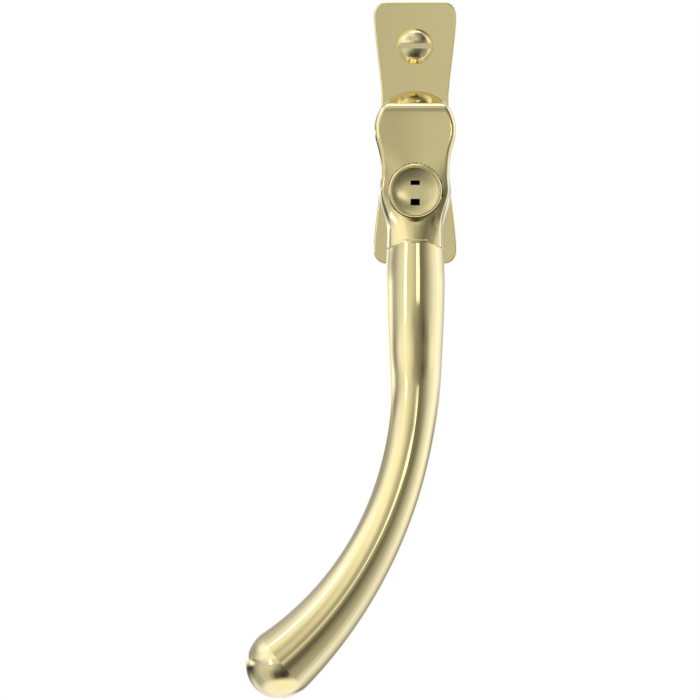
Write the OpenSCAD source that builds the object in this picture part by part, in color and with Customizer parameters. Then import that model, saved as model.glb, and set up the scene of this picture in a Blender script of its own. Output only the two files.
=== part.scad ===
// Window handle: a waisted base plate carries a swept lever that turns a square
// spindle through 90 degrees. A push button with a key plug locks the lever.
//
// The back of the base plate is the plane y = 0, and the spindle axis passes
// through the origin. +Z is up and -Y points away from the wall. Heights above
// the mounting face are called h, so h = -y.

/* [Base plate] */
// Overall height of the base plate
plate_len = 65; // [62:1:80]
// Half-width of the base plate at its ends
plate_end_hw = 10.25; // [9.5:0.05:12]
// Half-width of the base plate at its waist
plate_waist_hw = 8.35; // [8.3:0.05:9.4]
// Thickness of the base plate
plate_t = 5; // [5:0.1:6]
// Corner radius of the base plate
plate_corner_r = 3.3; // [2:0.1:4]
// Distance between the two fixing screws
fixing_pitch = 43; // [43:0.5:46]

/* [Lever] */
// Radius of the hub around the spindle
hub_r = 9.95; // [9.6:0.05:11]
// Height of the flat hub face above the mounting face
hub_front_h = 21; // [21:0.1:23]
// Height of the bar's centreline where it leaves the hub
bar_h = 15.5; // [14:0.1:16]
// Bar radius where it leaves the hub
bar_start_r = 7.27; // [6.8:0.01:7.4]
// Bar radius at its slimmest place
bar_slim_r = 5.65; // [5:0.01:6.2]
// Length of the bar between the hub and its sideways sweep
lead_len = 32.8; // [28:0.1:36]
// Length of the sideways sweep
sweep_len = 80.7; // [60:0.1:90]
// Radius of the sideways sweep
sweep_r = 91.55; // [80:0.05:130]
// How far the bar leans out of the wall, as a multiple of its usual lean
lean = 1; // [0.6:0.1:1.2]

/* [Spindle and bearing] */
// Side of the square spindle
spindle_w = 7; // [6:0.1:7]
// Length of the spindle behind the mounting face
spindle_out = 32; // [15:1:60]
// Radius of the lever's neck in its bush
neck_r = 6.3; // [6.1:0.05:6.3]
// Radial running clearance of shafts and sliding pieces
run_clear = 0.05; // [0.02:0.01:0.08]

/* [Lock] */
// Distance from the spindle axis down to the lock axis
lock_drop = 15; // [14.8:0.1:15.4]
// Radius of the lock button
button_r = 6.5; // [6.2:0.05:6.5]
// Travel of the lock button
button_travel = 3; // [2:0.1:3]
// Radius of the locking bolt
bolt_r = 2; // [1.5:0.1:2.2]
// Width of the key openings
key_w = 2.25; // [1.5:0.05:2.6]

/* [Hidden] */
$fn = 64;
eps = 0.5;                     // how far a cutter reaches past a face

// Stack of the bearing, as heights above the mounting face
cover_t = 0.6;                 // retaining plate
neck_end_h = 0.65;             // back end of the neck
circlip_h = 0.76;              // back face of the circlip
circlip_t = 0.53;
disc_h = 1.35;                 // back face of the disc spring
disc_t = 0.2;                  // thickness of the disc spring's steel
cam_h = 1.8;                   // back face of the index cam
cam_t = 1.15;
flange_h = 3.0;                // back face of the bush's flange
pocket_h = 3.4;                // floor of the mechanism pocket
washer_t = 0.35;               // thrust washer
hub_back_h = 5.4;              // underside of the hub

// Retained pieces around the neck
groove_r = 5.85;               // bottom of the circlip groove
flat_hw = 5.6;                 // half-width across the neck's four flats
bush_r = 6.9;                  // outside of the bush
ring_r = 7.2;                  // outside of the circlip and the disc spring
cam_hw = 6.4;                  // half-width across the cam's flats
cam_corner_r = 7.3;            // over the cam's corners
pocket_r = 7.45;               // round part of the mechanism pocket
spring_bay = [14.4, 17.2];     // straight part of the mechanism pocket
leaf_t = 0.4;                  // index leaf springs
leaf_len = 13.6;
leaf_z = cam_hw + run_clear;
leaf_leg = spring_bay[1] / 2 - 0.05 - leaf_z;

// Fixing screws
screw_r = 2.5;                 // M5 thread
screw_neck_r = 2.4;            // plain neck between the head and the thread
thread_start = 0.4;            // from the mounting face back to the thread
screw_hole_r = 2.6;
screw_out = 20;                // length behind the mounting face
head_r = 4.4;
head_top_r = 3.7;
head_side_h = 1.2;
head_h = 2.3;
slot_w = 1.45;
slot_depth = 1.25;
screw_z = fixing_pitch / 2;

// Cover plate behind the mechanism
cover_size = [13, 50];
cover_corner_r = 2;
cover_hole_r = 5.1;

// Lever
relief_in_r = 16.7;            // band under the lever that passes over the lower screw
relief_out_r = 27.4;
relief_h = 7.7;
scoop_z = -27.5;               // where the bar's round section begins
spindle_top_h = 15.9;
facet_top_z = 6.3;             // slanted facet: its edge on the hub face
facet_end = [10, 13];          // and a second point of its plane, as z and h
grub_h = 10;
grub_r = 2;
grub_end_x = 9.2;

// Lock
bore_r = button_r + 2 * run_clear;
bore_floor_h = 8.8;
button_front_h = hub_front_h + button_travel;
button_back_h = 12.1;
web_back_h = 13.9;             // web that carries the bolt and the spring
web_front_h = 14.7;
spring_pocket_r = 3.6;
plug_r = 5.78;                 // dished disc of the plug
stem_r = 4.2;
stem_back_h = 15.4;
disc_back_h = 20.4;
dish_rim_h = button_front_h - 0.3;
dish_r = 35.5;                 // radius of the dished face
latch_h = 16.6;
latch_r = 0.8;
latch_out_r = 6.45;            // tip of the latch pin when it is out
latch_len = 2.95;
latch_bore_end = -3.4;
cam_bore_r = 4.76;             // eccentric window that leads the latch pin
cam_bore_offset = 1.94;
stop_h = 15;
stop_r = 1.5;
dog_r = 0.7;
dog_x = 5.75;
stop_x = 6.75;
stop_end_x = 8.5;
bolt_tip_h = 5.7;
bolt_stem_r = 1.5;
bolt_head_r = 2.2;
bolt_hole_end_h = 2.2;
key_depth_h = 17.9;
key_upper = [1.39, 1.12];      // lower edge above the lock axis, and height
key_lower = [-3.57, 1.61];
key_recess = 0.25;             // depth of the flat bridge between the openings

// Swept bar
ring_sides = 28;
ring_step = 2.5;
dome_rings = 8;
dome_len = 8.45;
bar_tilt = [[8, 1.9], [27, 11.5], [30, 11], [35.5, 7.6], [46, 7.2], [57, 4.6], [80, 2.1], [100, 0.2],
            [114, -1.2]];      // outward tilt in degrees, by length along the bar

function clamp01(t) = min(1, max(0, t));
function ease(t) = t * t * (3 - 2 * t);

// Half-width of the base plate at height z
function plate_hw(z) =
    let (t = clamp01((abs(z) - 9.2) / 18.4))
    plate_waist_hw + (plate_end_hw - plate_waist_hw) * (0.65 * t + 0.35 * ease(t));

// Half-width of the hub at height z, from the spindle down to the bar
function hub_hw(z) =
    z > -3 ? sqrt(hub_r * hub_r - z * z)
    : z > -10 ? let (t = (z + 10) / 7) 8.5 + (sqrt(hub_r * hub_r - 9) - 8.5) * t * t
    : z > -lock_drop ? 8.5 + 0.4 * ease((-10 - z) / (lock_drop - 10))
    : 8.9 + (bar_start_r - 8.9) * ease(clamp01((-lock_drop - z) / 12));

function arc(centre, r, from, to, steps) =
    [for (i = [0:steps]) centre + r * [cos(from + (to - from) * i / steps),
                                       sin(from + (to - from) * i / steps)]];

// Path of the bar: s runs along it from the hub, and the sideways heading and
// the outward tilt are both angles in degrees.
bar_len = lead_len + sweep_len;
function heading(s) = max(0, s - lead_len) / sweep_r * 180 / PI;
function tilt(s) = lean * lookup(s, bar_tilt);
function bar_dir(s) = [-sin(heading(s)) * cos(tilt(s)), -sin(tilt(s)),
                       -cos(heading(s)) * cos(tilt(s))];
function bar_r(s) = s < 57 ? bar_start_r - (bar_start_r - bar_slim_r) * ease(clamp01((s - 8) / 46))
                           : bar_slim_r + 0.00098 * (s - 57) * (s - 57);
function bar_ring(p, s, r) =
    let (side = [cos(heading(s)), 0, -sin(heading(s))], up = cross(side, bar_dir(s)))
    [for (k = [0:ring_sides - 1])
        p + r * (cos(360 * k / ring_sides) * side + sin(360 * k / ring_sides) * up)];

// Points of a coil around the local Z axis, and the ring of points at each
function coil_ring(r, wire_r, pitch, a, sides) =
    [for (k = [0:sides - 1])
        let (q = r + wire_r * cos(360 * k / sides))
        [q * cos(a), q * sin(a), pitch * a / 360 + wire_r * sin(360 * k / sides)]];

// Closed skin over rings of equal length, with a flat or a pointed end
module skin(rings) {
    n = len(rings[0]);
    m = len(rings);
    sides = [for (i = [0:m - 2], k = [0:n - 1])
        [i * n + k, i * n + (k + 1) % n, (i + 1) * n + (k + 1) % n, (i + 1) * n + k]];
    start = [for (k = [n - 1:-1:0]) k];
    end = [for (k = [0:n - 1]) (m - 1) * n + k];
    polyhedron(points = [for (ring = rings) each ring], faces = concat(sides, [start, end]));
}

// Puts a drawing made flat on the wall at height h, so that its +Z points outward
module on_wall(h = 0) {
    translate([0, -h, 0]) rotate([90, 0, 0]) children();
}

module on_lock(h = 0) {
    translate([0, 0, -lock_drop]) on_wall(h) children();
}

module ring(r_out, r_in, h, t) {
    on_wall(h) linear_extrude(t) difference() {
        circle(r_out);
        circle(r_in);
    }
}

module rounded_rect(size, r) {
    square([size[0] - 2 * r, size[1]], center = true);
    square([size[0], size[1] - 2 * r], center = true);
    for (x = [-1, 1], y = [-1, 1])
        translate([x * (size[0] / 2 - r), y * (size[1] / 2 - r)]) circle(r);
}

// Helical spring of round wire, with its axis along local Z from 0 to length
module coil(r, wire_r, turns, length, steps = 14, sides = 6) {
    pitch = (length - 2 * wire_r) / turns;
    translate([0, 0, wire_r])
        skin([for (i = [0:turns * steps]) coil_ring(r, wire_r, pitch, 360 * i / steps, sides)]);
}

module plate_outline() {
    z_arc = plate_len / 2 - plate_corner_r;
    x_arc = plate_end_hw - plate_corner_r;
    right = concat([for (i = [-20:20]) [plate_hw(z_arc * i / 20.5), z_arc * i / 20.5]],
                   arc([x_arc, z_arc], plate_corner_r, 0, 90, 8));
    lower = arc([x_arc, -z_arc], plate_corner_r, -90, 0, 8);
    half = concat(lower, right);
    polygon(concat(half, [for (i = [len(half) - 1:-1:0]) [-half[i][0], half[i][1]]]));
}

module hub_outline() {
    side = [for (z = [-22:1:-3]) [hub_hw(z), z]];
    top = [for (a = [-15:6:90]) hub_r * [cos(a), sin(a)]];
    half = concat(side, top);
    polygon(concat(half, [for (i = [len(half) - 2:-1:0]) [-half[i][0], half[i][1]]]));
}

module base_plate() {
    color([0.75, 0.68, 0.47]) difference() {
        on_wall() linear_extrude(plate_t) plate_outline();
        on_wall(-eps) linear_extrude(cover_t + 0.02 + eps)
            rounded_rect(cover_size + [0.1, 0.1], cover_corner_r + 0.05);
        on_wall() linear_extrude(pocket_h) circle(pocket_r);
        on_wall() linear_extrude(pocket_h) square(spring_bay, center = true);
        on_wall() cylinder(r = bush_r + 0.02, h = plate_t + eps);
        for (z = [-screw_z, screw_z])
            translate([0, 0, z]) on_wall(-eps) cylinder(r = screw_hole_r, h = plate_t + 2 * eps);
        on_lock(bolt_hole_end_h) cylinder(r = bolt_r + 0.15, h = plate_t);
    }
}

module retaining_plate() {
    color([0.62, 0.63, 0.64]) on_wall() linear_extrude(cover_t) difference() {
        rounded_rect(cover_size, cover_corner_r);
        circle(cover_hole_r);
        for (y = [-screw_z, screw_z]) translate([0, y]) circle(screw_hole_r);
    }
}

module fixing_screw() {
    color([0.80, 0.73, 0.52]) on_wall(plate_t) difference() {
        union() {
            translate([0, 0, -plate_t - screw_out]) cylinder(r = screw_r, h = screw_out - thread_start);
            translate([0, 0, -plate_t - thread_start - eps])
                cylinder(r = screw_neck_r, h = plate_t + thread_start + 2 * eps);
            cylinder(r1 = head_r, r2 = head_top_r, h = head_side_h);
            dome_rise = head_h - head_side_h;
            dome_r = (head_top_r * head_top_r + dome_rise * dome_rise) / (2 * dome_rise);
            intersection() {
                translate([0, 0, head_h - dome_r]) sphere(dome_r);
                cylinder(r = head_top_r, h = head_h + eps);
            }
        }
        translate([-head_r, -slot_w / 2, head_h - slot_depth]) cube([2 * head_r, slot_w, head_h]);
    }
}

module upper_fixing_screw() {
    translate([0, 0, screw_z]) fixing_screw();
}

module lower_fixing_screw() {
    translate([0, 0, -screw_z]) fixing_screw();
}

module hub_bush() {
    color([0.16, 0.16, 0.17]) {
        ring(pocket_r - 0.05, neck_r + run_clear, flange_h, pocket_h - flange_h);
        ring(bush_r, neck_r + run_clear, flange_h, plate_t - flange_h);
    }
}

module thrust_washer() {
    color([0.90, 0.89, 0.85]) ring(8, neck_r + 0.1, plate_t, washer_t);
}

// Leaf spring above the cam, whose two legs stand against the end of the pocket
module index_spring() {
    on_wall(cam_h + 0.05) linear_extrude(cam_t - 0.1) {
        translate([-leaf_len / 2, leaf_z]) square([leaf_len, leaf_t]);
        for (x = [-leaf_len / 2, leaf_len / 2 - leaf_t])
            translate([x, leaf_z]) square([leaf_t, leaf_leg]);
    }
}

module upper_index_spring() {
    color([0.55, 0.56, 0.58]) index_spring();
}

module lower_index_spring() {
    color([0.55, 0.56, 0.58]) mirror([0, 0, 1]) index_spring();
}

module neck_section(hw, r) {
    intersection() {
        circle(r);
        square(2 * hw, center = true);
    }
}

module lever_body() {
    bar_start = [0, -bar_h, scoop_z];
    steps = ceil(bar_len / ring_step);
    ds = bar_len / steps;
    path = [for (i = 0, p = bar_start; i <= steps; p = p + ds * bar_dir((i + 0.5) * ds), i = i + 1) p];
    end_dir = bar_dir(bar_len);
    end_r = bar_r(bar_len);
    shaft = [for (i = [0:steps]) bar_ring(path[i], i * ds, bar_r(i * ds))];
    dome = [for (i = [1:dome_rings])
        let (a = 88 * i / dome_rings)
        bar_ring(path[steps] + dome_len * sin(a) * end_dir, bar_len, end_r * cos(a))];
    on_wall(hub_back_h) linear_extrude(hub_front_h - hub_back_h) hub_outline();
    hull() {
        translate([-8.2, -hub_front_h, -18.5]) cube([16.4, hub_front_h - hub_back_h, 1]);
        translate([0, -bar_h, scoop_z + 0.2]) cylinder(r = bar_start_r + 0.1, h = 0.5, $fn = 32);
    }
    skin(concat([bar_ring(bar_start + [0, 0, 4], 0, bar_start_r - 0.5)], shaft, dome));
    on_wall(flange_h) cylinder(r = neck_r, h = hub_back_h - flange_h + eps);
    on_wall(neck_end_h) linear_extrude(flange_h - neck_end_h + eps) neck_section(flat_hw, neck_r);
}

// Everything in front of the slanted facet at the top of the hub
module facet_cutter() {
    slope = (facet_end[0] - facet_top_z) / (hub_front_h - facet_end[1]);
    front = hub_front_h + 2;
    back = hub_back_h - 2;
    rotate([90, 0, 90]) linear_extrude(3 * hub_r, center = true)
        polygon([[-front, facet_top_z - 2 * slope], [-front, 3 * hub_r], [-back, 3 * hub_r],
                 [-back, facet_top_z + (hub_front_h - back) * slope]]);
}

module handle_lever() {
    color([0.72, 0.64, 0.44]) difference() {
        lever_body();
        facet_cutter();
        on_wall(relief_h - 5) difference() {
            cylinder(r = relief_out_r, h = 5);
            translate([0, 0, -eps]) cylinder(r = relief_in_r, h = 5 + 2 * eps);
        }
        on_wall(circlip_h - 0.02) linear_extrude(circlip_t + 0.04) difference() {
            circle(neck_r + 1);
            circle(groove_r);
        }
        on_wall() linear_extrude(spindle_top_h + 0.1) square(spindle_w + 0.06, center = true);
        translate([3, -grub_h, 0]) rotate([0, 90, 0]) cylinder(r = grub_r + 0.02, h = 10);
        on_lock(bore_floor_h) cylinder(r = bore_r, h = 20);
        on_lock() cylinder(r = bolt_r + run_clear, h = bore_floor_h + 1);
        translate([0, -(latch_h - button_travel), -lock_drop + 5])
            cylinder(r = latch_r + 0.1, h = 2.6);
        translate([5, -stop_h, -lock_drop]) rotate([0, 90, 0]) cylinder(r = stop_r + 0.02, h = 8);
    }
}

module spindle() {
    color([0.66, 0.67, 0.69]) on_wall(-spindle_out)
        linear_extrude(spindle_out + spindle_top_h) square(spindle_w, center = true);
}

module spindle_grub_screw() {
    color([0.25, 0.25, 0.27]) difference() {
        translate([spindle_w / 2, -grub_h, 0]) rotate([0, 90, 0])
            cylinder(r = grub_r, h = grub_end_x - spindle_w / 2);
        translate([grub_end_x - 2, -grub_h, 0]) rotate([0, 90, 0]) cylinder(r = 1.15, h = 3, $fn = 6);
    }
}

module index_cam() {
    color([0.60, 0.61, 0.63]) on_wall(cam_h) linear_extrude(cam_t) difference() {
        neck_section(cam_hw, cam_corner_r);
        neck_section(flat_hw + 0.02, neck_r + 0.03);
    }
}

module disc_spring() {
    rise = cam_h - disc_h - disc_t - 0.02;
    color([0.55, 0.56, 0.58]) on_wall(disc_h) rotate_extrude()
        polygon([[neck_r + 0.05, 0], [ring_r, rise], [ring_r, rise + disc_t], [neck_r + 0.05, disc_t]]);
}

module retaining_circlip() {
    color([0.35, 0.35, 0.37]) on_wall(circlip_h) linear_extrude(circlip_t) difference() {
        circle(ring_r);
        circle(groove_r + 0.02);
        translate([-1.6, -ring_r - eps]) square([3.2, ring_r]);
    }
}

module button_stop_screw() {
    color([0.25, 0.25, 0.27]) difference() {
        translate([0, -stop_h, -lock_drop]) rotate([0, 90, 0]) {
            translate([0, 0, dog_x]) cylinder(r = dog_r, h = stop_x - dog_x);
            translate([0, 0, stop_x]) cylinder(r = stop_r, h = stop_end_x - stop_x);
        }
        translate([stop_end_x - 1, -stop_h, -lock_drop]) rotate([0, 90, 0])
            cylinder(r = 0.85, h = 2, $fn = 6);
    }
}

module lock_button() {
    edge = 0.4;
    slot_len = button_travel + 2 * dog_r + 0.1;
    color([0.78, 0.70, 0.48]) difference() {
        on_lock() rotate_extrude()
            polygon([[bolt_stem_r + 0.02, web_back_h], [spring_pocket_r, web_back_h],
                     [spring_pocket_r, button_back_h], [button_r, button_back_h],
                     [button_r, button_front_h - edge], [button_r - edge, button_front_h],
                     [plug_r + 0.07, button_front_h], [plug_r + 0.07, disc_back_h],
                     [stem_r + run_clear, disc_back_h], [stem_r + run_clear, web_front_h],
                     [bolt_stem_r + 0.02, web_front_h]]);
        on_lock(latch_h - latch_r - 0.1) translate([0, cam_bore_offset])
            cylinder(r = cam_bore_r, h = 2 * latch_r + 0.2);
        translate([dog_x - 0.1, -(stop_h - dog_r - 0.05 + slot_len), -lock_drop - dog_r - 0.05])
            cube([2, slot_len, 2 * dog_r + 0.1]);
    }
}

module lock_bolt() {
    tip = 0.4;
    color([0.60, 0.61, 0.63]) on_lock() rotate_extrude()
        polygon([[0, bolt_tip_h], [bolt_r - tip, bolt_tip_h], [bolt_r, bolt_tip_h + tip],
                 [bolt_r, web_back_h], [bolt_stem_r, web_back_h], [bolt_stem_r, web_front_h],
                 [bolt_head_r, web_front_h], [bolt_head_r, web_front_h + 0.5],
                 [0, web_front_h + 0.5]]);
}

module lock_return_spring() {
    color([0.55, 0.56, 0.58]) on_lock(bore_floor_h + 0.02)
        coil(3, 0.25, 3.5, web_back_h - bore_floor_h - 0.04);
}

module lock_plug() {
    dish_depth = dish_r - sqrt(dish_r * dish_r - plug_r * plug_r);
    floor_h = dish_rim_h - dish_depth - key_recess;
    color([0.74, 0.66, 0.45]) difference() {
        union() {
            on_lock(disc_back_h + 0.05) cylinder(r = plug_r, h = dish_rim_h - disc_back_h - 0.05);
            on_lock(stem_back_h) cylinder(r = stem_r, h = disc_back_h + eps - stem_back_h);
        }
        on_lock(dish_rim_h - dish_depth + dish_r) sphere(dish_r);
        on_lock(floor_h) translate([-key_w / 2, key_lower[0]])
            cube([key_w, key_upper[0] + key_upper[1] - key_lower[0], 5]);
        for (opening = [key_upper, key_lower])
            on_lock(key_depth_h) translate([-key_w / 2, opening[0]]) cube([key_w, opening[1], 8]);
        translate([0, -latch_h, latch_bore_end - lock_drop])
            cylinder(r = latch_r + run_clear, h = 10);
    }
}

module latch_spring() {
    color([0.55, 0.56, 0.58]) translate([0, -latch_h, latch_bore_end + 0.02 - lock_drop])
        coil(0.55, 0.15, 6, latch_out_r - latch_len - latch_bore_end - 0.04, steps = 12);
}

module latch_pin() {
    color([0.60, 0.61, 0.63]) translate([0, -latch_h, latch_out_r - latch_len - lock_drop])
        cylinder(r = latch_r, h = latch_len);
}

base_plate();
retaining_plate();
upper_fixing_screw();
lower_fixing_screw();
hub_bush();
thrust_washer();
upper_index_spring();
lower_index_spring();
handle_lever();
spindle();
spindle_grub_screw();
index_cam();
disc_spring();
retaining_circlip();
button_stop_screw();
lock_button();
lock_bolt();
lock_return_spring();
lock_plug();
latch_spring();
latch_pin();
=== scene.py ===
"""Looks of a locking window handle in polished brass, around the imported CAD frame.

Lengths in this file are millimetres in the row frame: +X right, +Z up, and -Y out of
the wall. A height h above the mounting face is -y. new_mesh() turns them into metres.
"""

import math

import bpy
import numpy as np
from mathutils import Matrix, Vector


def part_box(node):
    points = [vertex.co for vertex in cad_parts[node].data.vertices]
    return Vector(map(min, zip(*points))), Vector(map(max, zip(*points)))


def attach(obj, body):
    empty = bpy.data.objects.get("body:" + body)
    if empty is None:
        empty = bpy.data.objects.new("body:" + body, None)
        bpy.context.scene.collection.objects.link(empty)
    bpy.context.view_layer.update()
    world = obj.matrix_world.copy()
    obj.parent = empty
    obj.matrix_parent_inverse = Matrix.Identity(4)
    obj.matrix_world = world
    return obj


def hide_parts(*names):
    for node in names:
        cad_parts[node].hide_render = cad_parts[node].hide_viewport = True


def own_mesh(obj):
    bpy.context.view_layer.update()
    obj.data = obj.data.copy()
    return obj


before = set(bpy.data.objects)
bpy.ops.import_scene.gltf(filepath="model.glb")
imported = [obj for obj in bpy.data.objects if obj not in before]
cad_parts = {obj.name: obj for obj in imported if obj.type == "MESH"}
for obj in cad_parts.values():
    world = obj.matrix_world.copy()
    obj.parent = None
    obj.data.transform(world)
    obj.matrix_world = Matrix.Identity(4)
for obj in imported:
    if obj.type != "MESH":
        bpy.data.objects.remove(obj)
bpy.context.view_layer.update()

MM = 0.001
ROUND = 128                      # segments round a turned part
LEVER_CELL = 0.25                # grid of the hub's skin
BAR_SEGMENTS = 112
SAME_SURFACE = 0.6               # cosine above which a corner takes its smooth normal


def corners(node):
    """Lowest and highest corner of a CAD node, in millimetres."""
    lo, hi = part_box(node)
    return np.array(lo) / MM, np.array(hi) / MM


# ---------------------------------------------------------------- driving sizes
plate_lo, plate_hi = corners("base_plate")
button_lo, button_hi = corners("lock_button")
plug_lo, plug_hi = corners("lock_plug")
spindle_lo, spindle_hi = corners("spindle")
cover_lo, cover_hi = corners("retaining_plate")
screw_lo, screw_hi = corners("upper_fixing_screw")
washer_lo, _ = corners("thrust_washer")

PLATE_LEN = plate_hi[2] - plate_lo[2]
PLATE_END_HW = plate_hi[0]
PLATE_T = -plate_lo[1]
PLATE_WAIST_HW = 8.35
PLATE_CORNER_R = 3.3
SCREW_Z = (screw_lo[2] + screw_hi[2]) / 2
SCREW_HOLE_R = 2.6

HUB_R = 9.95
HUB_FRONT_H = 21.0               # crest of the hub's face
HUB_BACK_H = -washer_lo[1] + 0.05
LOCK_Z = (button_lo[2] + button_hi[2]) / 2
BUTTON_R = button_hi[0]
BUTTON_FRONT_H = -button_lo[1]
BUTTON_BACK_H = -button_hi[1]
BORE_R = BUTTON_R + 0.2
BORE_FLOOR_H = 8.8
BUTTON_TRAVEL = 3.0
LATCH_TRAVEL = 2.35              # of the latch pin, over a quarter turn of the key

BAR_H = 15.5                     # the bar's axis at the seam
SEAM_Z = -27.5                   # where the bar's round section begins
SWEEP_START = 32.8               # distance below the seam where the bar starts to sweep sideways
SWEEP_LEN = 79.0                 # as far as the crease where the rounded end begins
SWEEP_FULL = 80.7                # as far as the bar's path is worked out
SWEEP_R = 91.55
# Estimated after measuring reflections, as a view from the front doesn't show how the bar leans.
TILT_S = [8, 27, 30, 35.5, 46, 57, 80, 100, 114]       # distances below the seam along the bar,
TILT = [1.9, 11.5, 11, 7.6, 7.2, 4.6, 2.1, 0.2, -1.2]  # and its outward tilt there in degrees
END_LEN = 9.5                    # of the rounded end, past the crease
NECK_R = 6.3


# ---------------------------------------------------------------- small geometry kit
def ease(t):
    t = np.clip(t, 0, 1)
    return t * t * (3 - 2 * t)


def unit(vectors):
    return vectors / np.linalg.norm(vectors, axis=-1, keepdims=True)


def out_of_wall(x, z, h):
    """Points from their place on the wall and their height above it."""
    x, z, h = np.broadcast_arrays(x, z, h)
    return np.stack([x, -h, z], axis=-1).astype(float)


def new_mesh(name, verts, faces, corner_normals=None, sharp=30):
    """A Blender object from points in millimetres. It is smooth but for edges over `sharp` degrees."""
    mesh = bpy.data.meshes.new(name)
    mesh.from_pydata((np.asarray(verts) * MM).tolist(), [], [list(map(int, f)) for f in faces])
    mesh.validate()
    mesh.shade_smooth()
    if corner_normals is None:
        mesh.set_sharp_from_angle(angle=math.radians(sharp))
    else:
        mesh.normals_split_custom_set(corner_normals.tolist())
    obj = bpy.data.objects.new(name, mesh)
    bpy.context.scene.collection.objects.link(obj)
    return obj


def rounded(points, radii, steps=6):
    """An open or closed run of 2D points with each inner corner turned into an arc."""
    out = []
    n = len(points)
    for i, (p, r) in enumerate(zip(points, radii)):
        p = np.array(p, float)
        if r <= 0:
            out.append(p)
            continue
        before = np.array(points[(i - 1) % n], float) - p
        after = np.array(points[(i + 1) % n], float) - p
        before /= np.linalg.norm(before)
        after /= np.linalg.norm(after)
        half = math.acos(np.clip(before @ after, -1, 1)) / 2
        reach = r / math.tan(half)
        middle = (before + after) / np.linalg.norm(before + after)
        centre = p + middle * r / math.sin(half)
        a0 = p + before * reach - centre
        a1 = p + after * reach - centre
        start = math.atan2(a0[1], a0[0])
        turn = (math.atan2(a1[1], a1[0]) - start + math.pi) % (2 * math.pi) - math.pi
        for k in range(steps + 1):
            a = start + turn * k / steps
            out.append(centre + r * np.array([math.cos(a), math.sin(a)]))
    return np.array(out)


def grid_faces(rows, cols, closed_rows=False):
    """Quads of a grid whose columns wrap round, and its rows too if closed_rows is set."""
    faces = []
    for i in range(rows if closed_rows else rows - 1):
        a, b = i * cols, ((i + 1) % rows) * cols
        for k in range(cols):
            j = (k + 1) % cols
            faces.append((a + k, a + j, b + j, b + k))
    return faces


def lathe(name, profile, x=0.0, z=0.0, segments=ROUND, sharp=30):
    """A turned part: profile is a run of (radius, h), anticlockwise with r to the right and h up.

    A run that starts or ends on the axis is closed there by a fan, any other run is closed on itself.
    """
    profile = np.asarray(profile, float)
    on_axis = profile[0][0] < 1e-6
    ring = profile[1:-1] if on_axis else profile
    a = np.linspace(0, 2 * math.pi, segments, endpoint=False)
    r, h = ring[:, :1], ring[:, 1:]
    verts = out_of_wall(x + r * np.cos(a), z + r * np.sin(a), h + 0 * a).reshape(-1, 3)
    faces = grid_faces(len(ring), segments, closed_rows=not on_axis)
    if on_axis:
        first, last = len(verts), len(verts) + 1
        ends = out_of_wall(x, z, profile[[0, -1], 1])
        verts = np.vstack([verts, ends])
        top = (len(ring) - 1) * segments
        for k in range(segments):
            j = (k + 1) % segments
            faces.append((first, j, k))
            faces.append((last, top + k, top + j))
    return new_mesh(name, verts, faces, sharp=sharp)


def prism(name, outline, profile, sharp=30):
    """An outline raised off the wall. profile is a run of (inset, h) from the back face to the front one."""
    outline = np.asarray(outline, float)
    ahead = np.roll(outline, -1, axis=0) - outline
    behind = outline - np.roll(outline, 1, axis=0)
    tangent = unit(unit(ahead) + unit(behind))
    inward = np.stack([-tangent[:, 1], tangent[:, 0]], axis=1)
    n = len(outline)
    verts = []
    for inset, h in profile:
        p = outline + inset * inward
        verts.append(out_of_wall(p[:, 0], p[:, 1], h))
    verts = np.vstack(verts)
    faces = grid_faces(len(profile), n)
    faces.append(tuple(range(n - 1, -1, -1)))
    faces.append(tuple(range((len(profile) - 1) * n, len(profile) * n)))
    return new_mesh(name, verts, faces, sharp=sharp)


def edge_profile(back_h, front_h, back_r, front_r, steps=5):
    """Side of a prism with a rounded edge at the back and at the front."""
    run = []
    for k in range(steps + 1):
        a = math.pi / 2 * k / steps
        run.append((back_r * (1 - math.sin(a)), back_h + back_r * (1 - math.cos(a))))
    for k in range(steps + 1):
        a = math.pi / 2 * k / steps
        run.append((front_r * (1 - math.cos(a)), front_h - front_r * (1 - math.sin(a))))
    return run


def cylinder(r, h0, h1, x=0.0, z=0.0, segments=ROUND):
    return lathe("cutter", [(0, h0), (r, h0), (r, h1), (0, h1)], x, z, segments)


def box(lo, hi):
    """A box between two corners given as (x, z, h)."""
    outline = [(lo[0], lo[1]), (hi[0], lo[1]), (hi[0], hi[1]), (lo[0], hi[1])]
    return prism("cutter", outline, [(0, lo[2]), (0, hi[2])])


def cut(obj, *cutters, sharp=30, operation="DIFFERENCE"):
    """Takes the cutters out of a closed mesh, or combines them with it in another way."""
    for cutter in cutters:
        mod = obj.modifiers.new("cut", "BOOLEAN")
        mod.operation = operation
        mod.solver = "MANIFOLD"
        mod.object = cutter
    depsgraph = bpy.context.evaluated_depsgraph_get()
    mesh = bpy.data.meshes.new_from_object(obj.evaluated_get(depsgraph))
    obj.modifiers.clear()
    old = obj.data
    obj.data = mesh
    bpy.data.meshes.remove(old)
    for cutter in cutters:
        bpy.data.objects.remove(cutter)
    mesh.shade_smooth()
    mesh.set_sharp_from_angle(angle=math.radians(sharp))
    return obj


def flat_faces_stay_flat(obj):
    mod = obj.modifiers.new("weighted normals", "WEIGHTED_NORMAL")
    mod.keep_sharp = True
    mod.weight = 100


# ---------------------------------------------------------------- lever: field of the hub
def round_max(a, b, r):
    """Intersection of two fields with a fillet of radius r along their edge."""
    return np.minimum(-r, np.maximum(a, b)) + np.hypot(np.maximum(a + r, 0), np.maximum(b + r, 0))


def round_min(a, b, r):
    return -round_max(-a, -b, r)


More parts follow.
